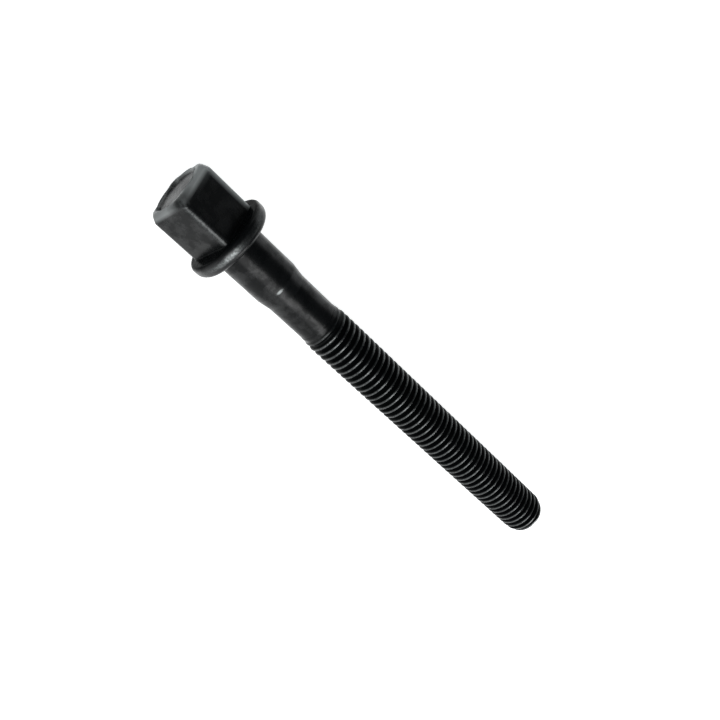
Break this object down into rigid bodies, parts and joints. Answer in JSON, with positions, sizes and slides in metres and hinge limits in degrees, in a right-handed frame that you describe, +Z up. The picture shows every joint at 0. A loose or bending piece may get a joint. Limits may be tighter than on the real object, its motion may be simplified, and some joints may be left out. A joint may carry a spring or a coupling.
{
  "type": "cylinder head bolt",
  "caption": "Flanged cylinder head bolt with a square driving head, a dished crown, a waisted shank and a long right-hand metric thread.",
  "frame": {"origin": "on the surface that the bolt lies on, under the middle of its outer box", "axes": "+Z up, +X along the length towards the threaded point, the head towards -X and one side of the square facing up to within 1 degree"},
  "size_m": [0.0906, 0.014, 0.0141],
  "materials": {
    "phosphated_steel": "black phosphated and oiled steel, forged head and rolled thread"
  },
  "bodies": {
    "root": {"cylinder_head_bolt": "phosphated_steel"}
  },
  "joints": []
}
